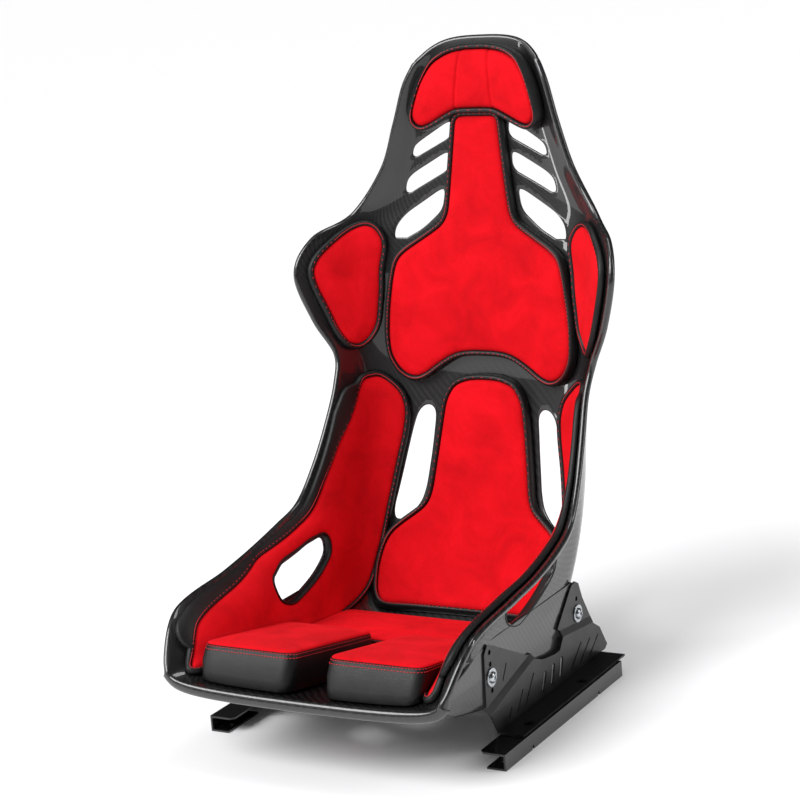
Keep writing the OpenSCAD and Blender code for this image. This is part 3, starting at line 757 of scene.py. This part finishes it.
def sleeve(name, hole, thickness):
    """Leather turned through an opening: a closed profile of (mm away from the hole, mm above the shell)
    carried round the loop, from the face over the rounded edge to just behind the shell."""
    top = thickness / MM
    profile = [(2.0, 0.55 * top), (1.6, 0.80 * top), (0.6, 0.93 * top), (-0.8, 0.97 * top),
               (-2.2, 0.90 * top), (-3.2, 0.70 * top), (-3.6, 0.35 * top), (-3.8, -5.0), (-3.2, -6.2),
               (-1.6, -6.2), (-0.8, -5.0), (-1.2, 0.2 * top)]
    rows = []
    for away, height in profile:
        point, _, _, normal = seat_frame(offset_loop(hole, away * MM))
        rows.append(point + normal * (GLUE_GAP + height * MM))
    faces = ring_faces(len(profile), len(hole), closed_rows=True)
    lining = piece(name, np.vstack(rows), [faces], LEATHER)


def suede_face(name, seam, holes, thickness, crown, crown_reach, pinch=None, spacing=4.6 * MM):
    """Height over the shell: thickness times 0.62 at the seam, rising as 1 - exp(-distance / 3 mm) to
    the thickness, plus the crown times a smooth step of the distance. pinch adds sewn channels."""
    rings = [(d * MM, [offset_loop(seam, -d * MM)] + [offset_loop(hole, d * MM) for hole in holes])
             for d in (0.8, 2.0, 4.0, 7.0)]
    sv, tris, starts = patch(seam, holes, rings, spacing)
    point, _, _, normal = seat_frame(sv)
    edge = np.vstack([point[a:b] for a, b in list(zip(starts[:-1], starts[1:]))[:1 + len(holes)]])
    far = distance_to(point, edge)
    height = thickness * (0.62 + 0.38 * (1 - np.exp(-far / (3 * MM))))
    height += crown * smooth_step(far / crown_reach)
    if pinch is not None:
        height -= pinch(point)
    upper = point + normal * (GLUE_GAP + height)[:, None]
    lower = point + normal * (GLUE_GAP + 0.1 * thickness)
    faces = [tris, tris[:, ::-1] + len(sv)]
    for k in range(1 + len(holes)):
        ring = np.arange(starts[k], starts[k + 1])
        nxt = np.roll(ring, -1)
        wall = np.stack([ring, ring + len(sv), nxt + len(sv), nxt], -1)
        faces.append(wall if k == 0 else wall[:, ::-1])
    made = piece(name, np.vstack([upper, lower]), faces, SUEDE)
    made.data.materials.append(LEATHER)
    backs = np.arange(len(made.data.polygons)) >= len(tris)
    made.data.polygons.foreach_set("material_index", backs.astype(np.int32))
    return made


def shell_pad(name, node, seam, thickness, crown, crown_reach, edge=NARROW_EDGE, holes=(), **face_options):
    """A suede face, its leather edge and the stitching in the leather, which stand for one CAD node."""
    face = suede_face(name, seam, list(holes), thickness, crown, crown_reach, **face_options)
    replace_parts(face, node)
    border = leather_edge(name + "_edge", seam, edge, thickness)
    for k, hole in enumerate(holes):
        sleeve("%s_lining_%d" % (name, k + 1), hole, thickness)
    stitches(name + "_stitching", [seam_row(offset_loop(seam, 3.6 * MM), GLUE_GAP + 0.97 * thickness)])


print("pads lie %.1f mm off the shell" % (GLUE_GAP / MM))

# %% [markdown]
# ## Head rest, back and lumbar pads
# These three are the same left and right, so only their right half is drawn. The head rest is the
# thickest and has two sewn channels that spread slightly downwards. The back pad is a broad panel with
# a long neck up between the belt slots. The lumbar pad is narrow between the two openings, and wide
# where it meets the hips.

# %% Centre pads
HEAD_FACE = [[22, 968], [50, 963], [80, 949], [100, 925], [111, 898], [118, 870], [108, 855], [95, 850],
             [78, 856], [56, 867], [36, 876], [18, 877]]
BACK_FACE = [[16, 865], [31, 865], [38, 858], [40, 838], [46, 785], [52, 735], [56, 710], [66, 693],
             [84, 681], [134, 652], [149, 638], [157, 608], [165, 560], [168, 520], [166, 487], [153, 463],
             [138, 451], [123, 447], [106, 453], [85, 468], [62, 482], [44, 489], [20, 492]]
LUMBAR_FACE = [[16, 445], [34, 442], [54, 434], [69, 410], [75, 370], [83, 309], [89, 260], [98, 240],
               [115, 227], [139, 211], [155, 198], [164, 180], [168, 150], [163, 116], [150, 98],
               [132, 92], [90, 90], [40, 89]]


def head_channels(point):
    """Depth of the two sewn channels: 2.6 mm times a Gaussian of the distance to a sloping line."""
    x, z = np.abs(point[:, 0]), point[:, 2]
    line = 0.034 - (z - 0.877) * 0.095
    return 2.6 * MM * np.exp(-((x - line) / (2.2 * MM)) ** 2)


def front_seam(half, radius, count, s_range, v_range):
    """A pad's seam from the right half of its outline, drawn from the front in mm."""
    return turned_outwards(on_seat(rounded(both_halves(half), radius, count), [0, 2], s_range, v_range))


head_seam = front_seam(HEAD_FACE, 12, 260, (13, 17), (-1, 1))
back_seam = front_seam(BACK_FACE, 14, 420, (8.5, 16.5), (-0.8, 0.8))
lumbar_seam = front_seam(LUMBAR_FACE, 18, 360, (4.6, 10), (-0.8, 0.8))
shell_pad("headrest_face", "headrest_pad", head_seam, 21 * MM, 3 * MM, 30 * MM, pinch=head_channels,
          spacing=2.4 * MM)
shell_pad("upper_back_face", "upper_back_pad", back_seam, 15 * MM, 3 * MM, 40 * MM)
shell_pad("lumbar_face", "lumbar_pad", lumbar_seam, 15 * MM, 3 * MM, 45 * MM)

# %% [markdown]
# ## Shoulder and side pads
# The shoulder pads line the wings of the shell, and the long side pads run from the waist down past
# the hips to the front, with a hole for the lap belt. Towards the rim their leather edge is a wide
# strip, because arms and belts rub there. Their outlines are drawn in s and v, since they wrap round
# the corner between the back and the walls, and the left ones are the mirror image of the right ones.

# %% Side pads
SHOULDER_FACE_SV = [[12.5, 0.68], [12.35, 0.56], [12.03, 0.475], [11.7, 0.45], [10.7, 0.46], [10.0, 0.52],
                    [9.72, 0.60], [9.50, 0.72], [9.45, 0.82], [9.62, 0.85], [10.34, 0.86], [11.0, 0.89],
                    [11.2, 0.89], [11.5, 0.87], [12.0, 0.81], [12.38, 0.76]]
SIDE_FACE_SV = [[9.0, 0.57], [8.70, 0.75], [8.40, 0.80], [7.72, 0.84], [6.92, 0.91], [5.87, 0.935],
                [5.0, 0.94], [3.82, 0.94], [2.67, 0.95], [1.88, 0.915], [1.20, 0.875], [0.88, 0.84],
                [0.55, 0.67], [0.36, 0.52], [1.6, 0.52], [3.2, 0.50], [4.4, 0.48], [5.2, 0.46],
                [6.5, 0.44], [7.6, 0.41], [8.1, 0.385], [8.5, 0.38], [8.82, 0.42]]


def side_edge_width(seam):
    """9 mm next to the other pads; towards the rim, all the way from the seam to just inside the rim."""
    s, v = seam[:, 0], np.abs(seam[:, 1])
    _, _, across, _ = seat_frame(seam)
    to_rim = np.clip(0.975 - v, 0, 1) * np.linalg.norm(across, axis=1)
    share = np.clip((v - 0.74) / 0.10, 0, 1) * np.clip((8.6 - s) / 0.6, 0, 1)
    return NARROW_EDGE + smooth_step(share) * np.clip(to_rim - NARROW_EDGE, 0, 24 * MM)


for side, flip in (("left", lambda sv: sv), ("right", lambda sv: turned_outwards(mirrored(sv)))):
    shoulder_seam = flip(from_sv(SHOULDER_FACE_SV, 0.02, 220))
    shell_pad("shoulder_face_" + side, "shoulder_pad_" + side, shoulder_seam, 10 * MM, 3 * MM, 30 * MM)
    side_seam = flip(from_sv(SIDE_FACE_SV, 0.025, 520))
    lap_loop = flip(from_sv(LAP_HOLE_SV, 0.016, 130))
    shell_pad("side_face_" + side, "side_pad_" + side, side_seam, 10 * MM, 2.5 * MM, 30 * MM,
              edge=side_edge_width(side_seam), holes=[offset_loop(lap_loop, 1.5 * MM)])

# %% [markdown]
# ## Seat cushions
# Two thigh blocks lie side by side at the front, with a gap for the crotch straps, and one pad fills
# the seat behind them. They are thick foam with a leather skirt and a suede top, joined by a seam just
# below the top edge. Each is a stack of rounded rectangles, from the shell up to the crowned middle.

# %% Cushions
CUSHION_CORNER = 22


def bodies_of_rings(name, bodies, material, uv_from=None):
    """One object from several bodies, each a stack of rings that run anticlockwise seen from its end.
    Quads join the rings, and a fan round its centre closes the first and the last ring."""
    points, quads, fans, count = [], [], [], 0
    for rings in np.array(bodies):
        rows, cols = rings.shape[:2]
        points += [rings.reshape(-1, 3), rings[:1].mean(1), rings[-1:].mean(1)]
        quads.append(ring_faces(rows, cols) + count)
        first = np.arange(cols) + count
        ahead = np.roll(first, -1)
        start, end = count + rows * cols, count + rows * cols + 1
        shift = (rows - 1) * cols
        fans.append(np.stack([np.full(cols, start), ahead, first], -1))
        fans.append(np.stack([np.full(cols, end), first + shift, ahead + shift], -1))
        count += rows * cols + 2
    points = np.vstack(points)
    uv = None if uv_from is None else points[:, uv_from]
    return piece(name, points, [np.vstack(quads), np.vstack(fans)], material, uv)


def shell_height(xy):
    """Height of the shell's inner face over points given in plan (metres)."""
    sv = on_seat(xy / MM, [0, 1], (0, 4.6), (-0.9, 0.9))
    return seat_point(sv[:, 0], sv[:, 1])[:, 2]


def cushion(name, node, x0, x1, y0, y1, top_front, slope, lean, mirror=False, crown=5.0):
    """Sizes in mm. The top falls by slope towards the rear, and the front face leans back by lean."""
    ring = rounded([[x0, y0], [x1, y0], [x1, y1], [x0, y1]], CUSHION_CORNER, 132) * MM
    centre = np.array([(x0 + x1) / 2, (y0 + y1) / 2]) * MM
    half = np.array([(x1 - x0) / 2, (y1 - y0) / 2]) * MM
    floor_z = shell_height(ring) + 1.5 * MM

    def top_z(xy):
        return (top_front - slope * (xy[:, 1] / MM - y0)) * MM

    def at(share, shrink, lift):
        """Ring at a share of the height, shrunk by so many mm, and leaning back at the front."""
        shifted = centre + (ring - centre) * (1 - shrink * MM / half)
        front = np.clip((centre[1] - ring[:, 1]) / half[1], 0, 1)
        shifted = shifted + np.stack([np.zeros(len(ring)), front * share * lean * MM], 1)
        z = floor_z + (top_z(shifted) - floor_z) * share + lift * MM
        return np.column_stack([shifted, np.maximum(z, floor_z)])

    def placed(rings):
        """The rings on their side of the seat; the mirrored ones run the other way round."""
        return [(r * flip)[::-1] if mirror else r for r in rings]

    flip = np.array([-1, 1, 1]) if mirror else np.ones(3)
    skirt = [at(0.0, 4, 0), at(0.03, 1.5, 0), at(0.25, 0, 0), at(0.5, -1.5, 0), at(0.75, -0.5, 0),
             at(0.88, 0.5, 0), at(0.93, 2.0, 0), at(0.93, 9, 0)]
    face = [at(0.86, 9, 0), at(0.90, 2.2, 0), at(0.93, 1.2, 0), at(0.955, 1.6, 0), at(0.985, 4, 0),
            at(1.0, 8, 0), at(1.0, 14, 1.2), at(1.0, 24, crown * 0.5), at(1.0, 40, crown * 0.8)]
    for size, lift in ((0.42, 0.92), (0.22, 0.98), (0.06, 1.0)):
        xy = centre + (ring - centre) * size
        face.append(np.column_stack([xy, top_z(xy) + crown * lift * MM]))
    skirt_piece = bodies_of_rings(name + "_skirt", [placed(skirt)], LEATHER)
    face_piece = bodies_of_rings(name + "_face", [placed(face)], SUEDE)
    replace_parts(face_piece, node)
    rows = []
    for share, shrink in ((0.885, 0.2), (0.80, -0.7)):
        line = at(share, shrink, 0)
        row = equal_steps(line, int(np.linalg.norm(np.diff(line, axis=0), axis=1).sum() / STITCH_PITCH))
        tangent = np.roll(row, -1, 0) - np.roll(row, 1, 0)
        tangent /= np.linalg.norm(tangent, axis=1, keepdims=True)
        normal = np.cross(tangent, [0, 0, 1])
        normal /= np.linalg.norm(normal, axis=1, keepdims=True)
        rows.append((row * flip, tangent * flip, normal * flip))
    stitches(name + "_stitching", rows)


cushion("thigh_left", "thigh_pad_left", 28, 186, -317, -64, 190, 0.20, 27)
cushion("thigh_right", "thigh_pad_right", 28, 186, -317, -64, 190, 0.20, 27, mirror=True)
cushion("seat", "seat_pad", -178, 178, -58, 98, 122, 0.10, 4)

# %% [markdown]
# ## Bolts and washers
# The side bolts are button-head screws with a hexagon socket. The head is a polar surface: its rings
# go from the washer over the dome to the edge of the socket, where the circle turns into a hexagon,
# and down to the socket's floor. Washers are a closed ring profile. Their places and sizes are taken
# from the boxes of the design's own bolts and washers.

# %% Bolts and washers
def hexagon_radius(angle, flat_radius):
    """Distance from the centre to a hexagon's edge: flat radius / cos of the angle to the nearest flat."""
    return flat_radius / np.cos((angle + math.pi / 6) % (math.pi / 3) - math.pi / 6)


def turned(axis_point, side, profile, count=48, hexagonal=()):
    """Rings (distance along the axis, radius) round an axis along +X or -X; some rings are hexagons."""
    angle = np.arange(count) * 2 * math.pi / count
    rings = []
    for k, (x, radius) in enumerate(profile):
        r = hexagon_radius(angle, radius) if k in hexagonal else np.full(count, radius)
        rings.append(axis_point + np.column_stack([np.full(count, side * x), r * np.cos(angle),
                                                   side * r * np.sin(angle)]))
    return rings


def sharp_edges(made, degrees):
    """Shades the piece smooth except over edges that turn by more than so many degrees."""
    made.data.set_sharp_from_angle(angle=math.radians(degrees))


bolt_low, bolt_high = (np.array(corner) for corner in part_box("side_bolts"))
washer_low, washer_high = (np.array(corner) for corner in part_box("side_washers"))
washer_radius = (washer_high[2] - washer_low[2]) / 2
bolt_z = (washer_high[2] + washer_low[2]) / 2
bolt_ys = (washer_low[1] + washer_radius, washer_high[1] - washer_radius)
washer_out = washer_high[0]
head_height = bolt_high[0] - washer_out
head_radius = (bolt_high[2] - bolt_low[2]) / 2
print("bolts at y", np.round(bolt_ys, 4), "z", round(bolt_z, 4))

SHANK, WASHER_HOLE, CHAMFER, THICK = 4.0 * MM, 4.4 * MM, 0.3 * MM, 2 * MM
HEAD = [(-6.0 * MM, SHANK), (0.0, SHANK), (0.0, head_radius * 0.97), (0.1 * head_height, head_radius),
        (0.3 * head_height, head_radius * 0.98), (0.62 * head_height, head_radius * 0.86),
        (0.86 * head_height, head_radius * 0.66), (0.97 * head_height, head_radius * 0.47),
        (0.97 * head_height, head_radius * 0.36), (0.90 * head_height, head_radius * 0.335),
        (0.30 * head_height, head_radius * 0.33), (0.22 * head_height, head_radius * 0.10)]
WASHER = [(-THICK, WASHER_HOLE), (-THICK, washer_radius - CHAMFER), (-THICK + CHAMFER, washer_radius),
          (-CHAMFER, washer_radius), (0, washer_radius - CHAMFER), (0, WASHER_HOLE)]
places = [(side, np.array([side * washer_out, y, bolt_z])) for side in (1, -1) for y in bolt_ys]
heads = [turned(at, side, HEAD, hexagonal=(8, 9, 10, 11)) for side, at in places]
bolts = bodies_of_rings("side_bolt_heads", heads, ZINC)
sharp_edges(bolts, 40)
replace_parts(bolts, "side_bolts")

washer_points = np.array([turned(at, side, WASHER) for side, at in places])
count, rows, cols = washer_points.shape[:3]
one_washer = ring_faces(rows, cols, closed_rows=True)
washer_faces = one_washer[None] + (np.arange(count) * rows * cols)[:, None, None]
washers = piece("side_washer_rings", washer_points.reshape(-1, 3), [washer_faces.reshape(-1, 4)], ZINC)
sharp_edges(washers, 40)
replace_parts(washers, "side_washers")

# %% [markdown]
# ## Keels
# Outside the pan, the shell is moulded out to a flat side that carries the brackets: a keel. Its inner
# face has to follow the shell's wall, so a block with bevels would not fit. Here one outline in the
# side view becomes rings: on the wall from the middle outwards, and then round an edge of three
# millimetres to the flat face at the bracket's ear.

# %% Keels
KEEL_OUT = [[-292, 118], [-250, 93], [-160, 72], [-30, 66], [110, 66], [172, 84], [182, 140], [150, 168],
            [-150, 168], [-200, 150], [-280, 130]]
KEEL_INSIDE = 150 * MM
KEEL_EDGE = ((3, 0), (1.5, 0.4), (0.4, 1.5), (0, 3))
ear_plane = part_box("threaded_inserts")[1][0]


def keel_rings(side):
    """The outline scaled about its middle, with x on the middle of the shell's wall; then the outline
    moved in by the edge's second number, with x as far behind the ear as the edge's first number."""
    loop = rounded(KEEL_OUT, 10, 220)
    middle = loop.mean(0)
    ahead = np.roll(loop, -1, 0) - np.roll(loop, 1, 0)
    inward = np.column_stack([-ahead[:, 1], ahead[:, 0]]) / np.linalg.norm(ahead, axis=1)[:, None]
    rings = []
    for size in (0.25, 0.5, 0.75, 1.0):
        at = middle + (loop - middle) * size
        point, _, _, normal = seat_frame(on_seat(at, [1, 2], (0, 8), (0.5, 0.95)))
        x = np.clip((point - normal * WALL / 2)[:, 0], KEEL_INSIDE, ear_plane - 4 * MM)
        rings.append(np.column_stack([x, at * MM]))
    for depth, inset in KEEL_EDGE:
        x = np.full(len(loop), ear_plane - depth * MM)
        rings.append(np.column_stack([x, (loop + inward * inset) * MM]))
    rings = [ring * [side, 1, 1] for ring in rings]
    return rings if side > 0 else [ring[::-1] for ring in rings]


keels = bodies_of_rings("shell_keels", [keel_rings(1), keel_rings(-1)], CARBON, slice(1, 3))
sharp_edges(keels, 40)

# %% [markdown]
# ## Finishes of the carried-over parts
# The brackets, consoles, inserts, foot screws and nuts keep the shape of the design, and only their
# finish is set here.

# %% Finishes
for node, finish in (("side_bracket_left", BRACKET), ("side_bracket_right", BRACKET),
                     ("console_left", CONSOLE), ("console_right", CONSOLE), ("threaded_inserts", BRASS),
                     ("foot_screws", BLACK_STEEL), ("foot_nuts", ZINC)):
    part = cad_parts[node]
    part.data.materials.clear()
    part.data.materials.append(finish)
print("finishes set")

# %% [markdown]
# ## Floor and light
# The seat stands on a plain pale floor that runs off beyond the picture. A wide soft key light like a
# hazy sun comes from the upper left in front, so that the inner face of the left bolster stays in
# shade. An even, weaker sky fills the shadows, while reflections see a much darker room, as in a studio
# with black flags: that keeps the clear coat black. Long soft lamps draw the bright lines on the rim.

# %% Stage
def pale_floor(tree):
    return add(tree, "ShaderNodeBsdfPrincipled", {"Base Color": linear("#F9F9FA"), "Roughness": 0.75,
                                                  "Specular IOR Level": 0.1})


FLOOR_HALF = 60.0
SKY, ROOM = 0.5, 0.03
floor_mesh = bpy.data.meshes.new("floor")
floor_mesh.from_pydata([(-FLOOR_HALF, -FLOOR_HALF, 0), (FLOOR_HALF, -FLOOR_HALF, 0),
                        (FLOOR_HALF, FLOOR_HALF, 0), (-FLOOR_HALF, FLOOR_HALF, 0)], [], [(0, 1, 2, 3)])
floor_mesh.materials.append(new_material("pale_studio_floor", pale_floor))
floor = bpy.data.objects.new("floor", floor_mesh)
bpy.context.scene.collection.objects.link(floor)

world = bpy.data.worlds.new("studio")
world.use_nodes = True
world.node_tree.nodes.clear()
path = add(world.node_tree, "ShaderNodeLightPath")
sky = add(world.node_tree, "ShaderNodeBackground", {"Color": (1, 1, 1, 1), "Strength": SKY})
room = add(world.node_tree, "ShaderNodeBackground", {"Color": (1, 1, 1, 1), "Strength": ROOM})
either = add(world.node_tree, "ShaderNodeMixShader", {"Fac": path.outputs["Is Glossy Ray"],
                                                      1: sky.outputs[0], 2: room.outputs[0]})
add(world.node_tree, "ShaderNodeOutputWorld", {"Surface": either.outputs[0]})
bpy.context.scene.world = world


def facing(at, target):
    """A light's matrix at a point, its own z axis turned away from the target."""
    back = np.array(at, float) - np.array(target, float)
    back /= np.linalg.norm(back)
    across = np.cross([0.0, 0.001, 1.0], back)
    across /= np.linalg.norm(across)
    turned_matrix = np.eye(4)
    turned_matrix[:3, :3] = np.stack([across, np.cross(back, across), back], 1)
    turned_matrix[:3, 3] = at
    return Matrix(turned_matrix.tolist())


def light(name, kind, at, target, power, **settings):
    """A lamp at a point that shines towards the target; power is in watts, or the strength of a sun."""
    data = bpy.data.lights.new(name, kind)
    data.energy = power
    for key, value in settings.items():
        setattr(data, key, value)
    made = bpy.data.objects.new(name, data)
    bpy.context.scene.collection.objects.link(made)
    made.matrix_world = facing(at, target)
    return made


SEAT_MIDDLE = [0, 0, 0.5]
light("key", "SUN", [-1.3, -2.6, 3.2], SEAT_MIDDLE, 2.8, angle=math.radians(36), specular_factor=0.25)
light("left_strip", "AREA", [-2.4, -1.4, 1.3], SEAT_MIDDLE, 14, shape="RECTANGLE", size=0.22, size_y=2.2)
light("right_strip", "AREA", [2.4, 0.8, 1.5], SEAT_MIDDLE, 16, shape="RECTANGLE", size=0.25, size_y=2.0)
light("overhead", "AREA", [0.2, 0.2, 2.8], SEAT_MIDDLE, 12, shape="RECTANGLE", size=1.4, size_y=0.5)
bpy.context.scene.view_settings.view_transform = "Standard"
print("stage set")

# %% Finish
bpy.context.view_layer.update()
